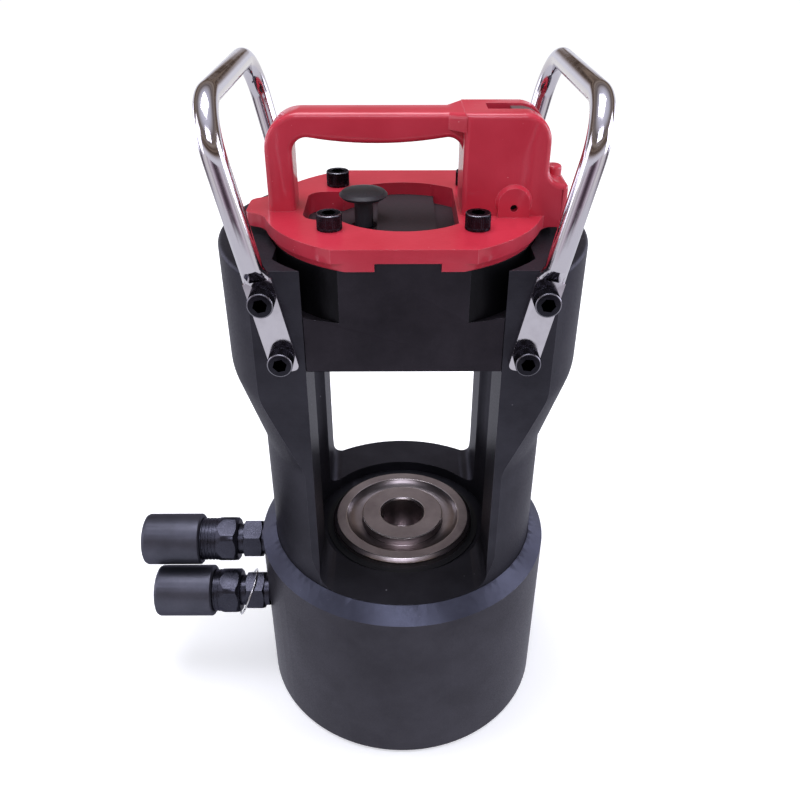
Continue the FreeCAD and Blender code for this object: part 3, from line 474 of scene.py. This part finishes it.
def modelScrew(name, shankLength):
    # Upright at the origin, the head standing on z = 0 and the shank below it
    r, high, foot = (screwSet[key] for key in ("headRadius", "headHeight", "footEdge"))
    edge, band, ribEdge = (screwSet[key] for key in ("rimRound", "plainBand", "ribEdge"))
    centre = (0, 0, 0)
    columns = 2 * screwSet["ribs"]
    piece = startMesh(name, bpy.ops.mesh.primitive_circle_add, vertices=columns, radius=r - foot,
                      location=centre, fill_type="NOTHING")
    pull(dz=foot)
    swell((r / (r - foot),) * 2 + (1,), centre)
    pull(dz=band - foot)
    pull(dz=ribEdge)
    pull(dz=high - band - edge - 2 * ribEdge)
    pull(dz=ribEdge)
    inner = r
    for turn in (30, 60, 90):  # rounded rim in three steps
        angle = math.radians(turn)
        before = math.radians(turn - 30)
        pull(dz=edge * (math.sin(angle) - math.sin(before)))
        wanted = r - edge * (1 - math.cos(angle))
        swell((wanted / inner,) * 2 + (1,), centre)
        inner = wanted
    # Key hole: a hexagon in the flat top, chamfered, with a cone at its floor
    corner = screwSet["keyWidth"] / math.sqrt(3)
    keyEdge, keySwell = screwSet["keyEdge"], screwSet["keySwell"]
    bpy.ops.object.mode_set(mode="OBJECT")
    hexagon = startMesh(name + "Key", bpy.ops.mesh.primitive_circle_add, vertices=6, radius=corner * keySwell,
                        location=(0, 0, high), fill_type="NOTHING")
    bpy.ops.object.mode_set(mode="OBJECT")
    deselectAll()
    hexagon.select_set(True)
    piece.select_set(True)
    bpy.context.view_layer.objects.active = piece
    bpy.ops.object.join()
    bpy.ops.object.mode_set(mode="EDIT")
    selectVerts(piece, lambda at: at.z > high - 0.01 * mm)
    bpy.ops.mesh.bridge_edge_loops()
    selectVerts(piece, lambda at: at.z > high - 0.01 * mm and math.hypot(at.x, at.y) < corner * 1.2)
    pull(dz=-keyEdge)
    swell((1 / keySwell, 1 / keySwell, 1), (0, 0, high))
    pull(dz=keyEdge - screwSet["keyDepth"])
    pull(dz=-screwSet["keyTip"])
    bpy.ops.mesh.merge(type="CENTER")
    # Ribs: every second column of the side stands back
    selectVerts(piece, lambda at: band + 0.05 * mm < at.z < high - edge - 0.05 * mm
                and round(math.degrees(math.atan2(at.y, at.x)) * columns / 360) % 2 == 0)
    back = 1 - screwSet["ribDepth"] / r
    swell((back, back, 1), centre)
    # Shank with a chamfered end
    selectVerts(piece, lambda at: at.z < 0.01 * mm)
    pull()
    shank = screwSet["shankRadius"]
    swell((shank / (r - foot),) * 2 + (1,), centre)
    pull(dz=screwSet["shankTip"] - shankLength)
    pull(dz=-screwSet["shankTip"])
    swell((0.8, 0.8, 1), centre)
    bpy.ops.mesh.edge_face_add()
    bpy.ops.mesh.select_all(action="SELECT")
    bpy.ops.mesh.remove_doubles(threshold=0.000002)
    bpy.ops.mesh.normals_make_consistent(inside=False)
    settle(piece, 24.0)
    wear(piece, screwSteel)
    piece.data.materials.append(rubbedAndHighlitRimSteel)
    # Rims and key-hole edges take the lighter rim material, partly a painted highlight
    for face in piece.data.polygons:
        out = math.hypot(face.center.x, face.center.y)
        rim = face.center.z > high - 0.6 * edge and out > r - 1.1 * edge
        keyRim = face.center.z > high - 0.5 * mm and out < corner * keySwell
        face.material_index = 1 if 0.2 < face.normal.z < 0.97 and (rim or keyRim) else 0
    return piece


def placeScrews():
    masters = {}
    for name in sorted(nodes):
        if "screw" not in name or name == "fork_grub_screw":
            continue
        low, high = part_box(name)
        middle = [(a + b) / 2 for a, b in zip(low, high)]
        upright = name.startswith("carry")
        length = (high[2] - low[2] if upright else high[1] - low[1]) - screwSet["headHeight"]
        kind = "upright" if upright else "lying"
        if kind not in masters:
            masters[kind] = modelScrew("screwMaster_" + kind, length)
        piece = masters[kind].copy()
        piece.data = masters[kind].data.copy()
        piece.name = name + "_finished"
        bpy.context.scene.collection.objects.link(piece)
        spin = Matrix.Rotation(0.7 * len(name) + 2.1 * int(name[-1]), 4, "Z")  # keys stand at odd angles
        if upright:
            place = Matrix.Translation((middle[0], middle[1], high[2] - screwSet["headHeight"]))
        else:
            front = middle[1] < 0
            foot = low[1] + screwSet["headHeight"] if front else high[1] - screwSet["headHeight"]
            place = Matrix.Translation((middle[0], foot, middle[2]))
            place = place @ Matrix.Rotation(math.radians(90 if front else -90), 4, "X")
        piece.matrix_world = place @ spin
        pick(piece)
        bpy.ops.object.transform_apply(location=True, rotation=True, scale=True)
        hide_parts(name)
        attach(piece, nodeBodies[name])
    for master in masters.values():
        bpy.data.objects.remove(master)


placeScrews()
print("cap screws placed")


# Coupler threads
threadSet = {
    "plainRadius": 15.0 * mm,  # the sleeve as it comes
    "boreRadius": 13.5 * mm,  # nothing inside this is turned down
    "sleeveRadius": 14.2 * mm,  # the coupler's sleeve is turned down to this below the thread
    "rootRadius": 14.3 * mm,
    "wallRadius": 13.9 * mm,  # the thread's inner wall, hidden in the sleeve
    "crestRadius": 15.25 * mm,
    "step": 2.5 * mm,
    "collarLength": 14.8 * mm,
    "sleeveLength": 39.5 * mm,
    "gap": 0.6 * mm,  # between the collar and the first ridge
}


def cutThread(coupler):
    # Ridges round the coupler's sleeve, under the dust cap too
    low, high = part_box(coupler)
    y, z = (low[1] + high[1]) / 2, (low[2] + high[2]) / 2
    start = x = high[0] - threadSet["collarLength"] - threadSet["gap"]
    root, crest, step = (threadSet[key] for key in ("rootRadius", "crestRadius", "step"))
    piece = startMesh(coupler + "_thread", bpy.ops.mesh.primitive_circle_add, vertices=64, radius=root,
                      location=(x, y, z), rotation=(0, math.radians(90), 0), fill_type="NOTHING")
    out, back = crest / root, root / crest
    for turn in range(int(threadSet["sleeveLength"] / step)):
        for share, factor in ((0.25, out), (0.3, None), (0.25, back), (0.2, None)):
            pull(dx=-share * step)
            x -= share * step
            if factor:
                swell((1, factor, factor), (x, y, z))
    # Both ends go in under the sleeve's skin and a wall joins them, so that the ridges are closed
    inward = threadSet["wallRadius"] / root
    for end in (start, x):
        selectVerts(piece, lambda at: abs(at.x - end) < 0.02 * mm)
        pull()
        swell((1, inward, inward), (end, y, z))
    selectVerts(piece, lambda at: math.hypot(at.y - y, at.z - z) < root - 0.1 * mm)
    bpy.ops.mesh.bridge_edge_loops()
    bpy.ops.mesh.select_all(action="SELECT")
    bpy.ops.mesh.normals_make_consistent(inside=False)
    settle(piece, 20.0)
    finish(piece, couplerBodySteel, nodeBodies[coupler])


def turnDownSleeve(coupler):
    # Makes room for the thread: the sleeve of the finished copy goes down to its root
    body = bpy.data.objects[coupler + "_finished"]
    low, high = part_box(coupler)
    y, z = (low[1] + high[1]) / 2, (low[2] + high[2]) / 2
    start = high[0] - threadSet["collarLength"]
    pick(body)
    bpy.ops.object.mode_set(mode="EDIT")
    selectVerts(body, lambda at: at.x < start - 0.5 * mm
                and math.hypot(at.y - y, at.z - z) > threadSet["boreRadius"])
    factor = threadSet["sleeveRadius"] / threadSet["plainRadius"]
    swell((1, factor, factor), (start, y, z))
    bpy.ops.object.mode_set(mode="OBJECT")
    wear(body, couplerBodySteel)


for coupler in ("upper_coupler", "lower_coupler"):
    turnDownSleeve(coupler)
    cutThread(coupler)
for name in ("upper_nipple", "lower_nipple"):
    wear(bpy.data.objects[name + "_finished"], couplerBodySteel)
print("coupler threads cut")


# Wire ring on the lower nipple
wireSet = {"ringRadius": 16.9 * mm, "wireRadius": 0.7 * mm, "tiltDegrees": 24.0, "turnDegrees": -1.0,
           "lift": 0.4 * mm, "openDegrees": 5.0}


def bendWireRing():
    low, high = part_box("lower_wire_ring")
    centre = Vector([(a + b) / 2 for a, b in zip(low, high)]) + Vector((0, 0, wireSet["lift"]))
    tilt, turn = math.radians(wireSet["tiltDegrees"]), math.radians(wireSet["turnDegrees"])
    axis = Vector((math.cos(tilt) * math.cos(turn), math.cos(tilt) * math.sin(turn), -math.sin(tilt)))
    out = axis.cross(Vector((0, 0, 1))).normalized()
    along = axis.cross(out).to_track_quat("Z", "Y").to_euler()
    piece = startMesh("lower_wire_ring_finished", bpy.ops.mesh.primitive_circle_add, vertices=12,
                      radius=wireSet["wireRadius"], location=centre + out * wireSet["ringRadius"],
                      rotation=along, fill_type="NGON")
    bpy.ops.mesh.spin(steps=72, angle=math.radians(360 - wireSet["openDegrees"]), center=centre, axis=axis)
    bpy.ops.mesh.select_all(action="SELECT")
    bpy.ops.mesh.normals_make_consistent(inside=False)
    settle(piece, 40.0)
    finish(piece, wireSteel, nodeBodies["lower_wire_ring"], "lower_wire_ring")


bendWireRing()
print("wire ring bent")


# Stage
stageSet = {
    "floorColour": "#ececee",
    "paperGlow": 0.76,  # seen by the camera, so that the paper reads white
    "shadowGlow": 0.38,  # the same close to the object, so that its shadow stays
    "shadowRadius": 0.12,  # metres, where the glow starts to rise
    "glowRadius": 0.42,  # metres, where it is full
    "mirroredGlow": 0.95,  # of the paper in glossy surfaces
    "paperRadius": 0.87,  # metres; glossy surfaces see the dark studio floor beyond it
    "roomLight": 0.3,
    "topLamp": 12.5,  # watts
    "frontLamp": 5.0,
    "leftLamp": 3.5,
    "rightLamp": 7.0,
    "leftBackLamp": 2.5,
    "rightBackLamp": 3.0,
}

# Light pools on the floor round the object: share of a turn from the front, clockwise seen from above
floorPools = ((0.035, "#6a5a68"), (0.06, "#a493a4"), (0.1, "#f4eef8"), (0.13, "#c9c2cf"), (0.17, "#ffffff"),
              (0.24, "#dcd8e2"), (0.28, "#5a4f56"), (0.31, "#443c44"), (0.37, "#f4f4fa"), (0.5, "#ffffff"),
              (0.63, "#f4f4fa"), (0.69, "#443c44"), (0.72, "#5a4f56"), (0.76, "#dcd8e2"), (0.83, "#ffffff"),
              (0.87, "#c9c2cf"), (0.9, "#f4eef8"), (0.94, "#a493a4"), (0.965, "#6a5a68"))


def layFloor():
    deselectAll()
    bpy.ops.mesh.primitive_plane_add(size=12.0, location=(0, 0, 0))
    floor = bpy.context.active_object
    floor.name = "studioFloor"
    made = bpy.data.materials.new("paperFloor")
    made.use_nodes = True
    tree = made.node_tree
    tree.nodes.clear()
    matt = addNode(tree, "BsdfDiffuse", in_Color=colour(stageSet["floorColour"]))
    rays = addNode(tree, "LightPath")
    place = addNode(tree, "TexCoord")
    reach = addNode(tree, "VectorMath", {0: place.outputs["Object"]}, operation="LENGTH")
    # The paper glows less close to the object, where the lamps reach it
    glow = addNode(tree, "MapRange", {"Value": reach.outputs["Value"]}, in_From_Min=stageSet["shadowRadius"],
                   in_From_Max=stageSet["glowRadius"])
    glow.inputs["To Min"].default_value = stageSet["shadowGlow"]
    glow.inputs["To Max"].default_value = stageSet["paperGlow"]
    direct = addNode(tree, "Math", {0: rays.outputs["Is Camera Ray"], 1: rays.outputs["Is Transmission Ray"]},
                     operation="MAXIMUM")
    seen = addNode(tree, "Math", {0: direct.outputs[0], 1: glow.outputs[0]}, operation="MULTIPLY")
    light = addNode(tree, "Emission", {"Strength": seen.outputs[0]}, in_Color=grey(1))
    both = addNode(tree, "AddShader", {0: matt.outputs[0], 1: light.outputs[0]})
    # What gloss sees: white paper near the object, and beyond it the room's dark floor between light pools
    axes = addNode(tree, "SeparateXYZ", {"Vector": place.outputs["Object"]})
    angle = addNode(tree, "Math", {0: axes.outputs["X"], 1: axes.outputs["Y"]}, operation="ARCTAN2")
    wave = addNode(tree, "TexNoise", {"Vector": place.outputs["Object"]}, in_Scale=9.0, in_Detail=2.0)
    swerve = addNode(tree, "Math", {0: wave.outputs["Fac"], 2: angle.outputs[0]}, operation="MULTIPLY_ADD",
                     in_1=0.5)
    turn = addNode(tree, "Math", {0: swerve.outputs[0]}, operation="MULTIPLY_ADD", in_1=0.5 / math.pi,
                   in_2=0.46)
    pools = addNode(tree, "ValToRGB", {"Fac": turn.outputs[0]})
    stops = pools.color_ramp.elements
    stops[0].position, stops[0].color = 0.0, colour("#4a3f48")
    stops[1].position, stops[1].color = 1.0, colour("#4a3f48")
    for at, tone in floorPools:
        stops.new(at).color = colour(tone)
    far = addNode(tree, "MapRange", {"Value": reach.outputs["Value"]}, in_From_Min=stageSet["paperRadius"] - 0.1,
                  in_From_Max=stageSet["paperRadius"] + 0.14)
    paper = addNode(tree, "MixRGB", {"Fac": far.outputs[0], "Color2": pools.outputs["Color"]},
                    in_Color1=colour("#eceef8"))
    mirrored = addNode(tree, "Emission", {"Color": paper.outputs["Color"]}, in_Strength=stageSet["mirroredGlow"])
    both = addNode(tree, "MixShader", {0: rays.outputs["Is Glossy Ray"], 1: both.outputs[0],
                                       2: mirrored.outputs[0]})
    addNode(tree, "OutputMaterial", {"Surface": both.outputs[0]})
    wear(floor, made)


# What gloss sees of the room, from the floor's edge up to the ceiling: height share and tone
roomBands = ((0.13, "#cfcbd2"), (0.2, "#75665c"), (0.26, "#453a35"), (0.3, "#8d7d70"), (0.35, "#574a43"),
             (0.43, "#a0958c"), (0.5, "#796e67"), (0.56, "#8f8683"), (0.62, "#6a6261"), (0.7, "#a8a3a6"),
             (0.84, "#d5d8e8"))


def hangBackdrop():
    # White all round for the camera; gloss sees a room with dark warm bands above the paper
    world = bpy.data.worlds.new("studioWorld")
    bpy.context.scene.world = world
    world.use_nodes = True
    tree = world.node_tree
    tree.nodes.clear()
    rays = addNode(tree, "LightPath")
    place = addNode(tree, "TexCoord")
    axes = addNode(tree, "SeparateXYZ", {"Vector": place.outputs["Generated"]})
    room = addNode(tree, "ValToRGB", {"Fac": axes.outputs["Z"]})
    stops = room.color_ramp.elements
    stops[0].position, stops[0].color = 0.06, colour("#eef0fb")
    stops[1].position, stops[1].color = 1.0, colour("#eef0ff")
    for at, tone in roomBands:
        stops.new(at).color = colour(tone)
    gloss = addNode(tree, "Background", {"Color": room.outputs["Color"]}, in_Strength=1.0)
    plainLight = addNode(tree, "Background", in_Color=grey(1), in_Strength=stageSet["roomLight"])
    white = addNode(tree, "Background", in_Color=grey(1), in_Strength=1.0)
    lit = addNode(tree, "MixShader", {0: rays.outputs["Is Glossy Ray"], 1: plainLight.outputs[0],
                                      2: gloss.outputs[0]})
    seen = addNode(tree, "Math", {0: rays.outputs["Is Camera Ray"], 1: rays.outputs["Is Transmission Ray"]},
                   operation="MAXIMUM")
    mixed = addNode(tree, "MixShader", {0: seen.outputs[0], 1: lit.outputs[0], 2: white.outputs[0]})
    addNode(tree, "OutputWorld", {"Surface": mixed.outputs[0]})


def hangLamp(name, place, aim, width, height, power, tone):
    lampData = bpy.data.lights.new(name, "AREA")
    lampData.shape = "RECTANGLE"
    lampData.size = width
    lampData.size_y = height
    lampData.energy = power
    lampData.color = colour(tone)[:3]
    lamp = bpy.data.objects.new(name, lampData)
    lamp.location = place
    lamp.rotation_euler = (Vector(aim) - Vector(place)).to_track_quat("-Z", "Y").to_euler()
    bpy.context.scene.collection.objects.link(lamp)


layFloor()
hangBackdrop()
# Name, place, height of its aim on the object's axis, width, height, tone
for name, place, aimHeight, width, height, tone in (
        ("topLamp", (-0.1, 0.05, 1.5), 0.2, 0.75, 0.75, "#f6f7ff"),
        ("frontLamp", (0, -0.95, 1.2), 0.25, 0.7, 0.4, "#eceeff"),
        ("leftLamp", (-1.2, -0.15, 0.6), 0.2, 0.7, 0.7, "#eef0ff"),
        ("rightLamp", (1.2, -0.15, 0.6), 0.2, 0.7, 0.7, "#eef0ff"),
        ("leftBackLamp", (-1.3, 0.75, 0.3), 0.2, 0.7, 0.5, "#e6e8ff"),
        ("rightBackLamp", (1.3, 0.75, 0.3), 0.2, 0.7, 0.5, "#e6e8ff")):
    hangLamp(name, place, (0, 0, aimHeight), width, height, stageSet[name], tone)
print("stage lit")
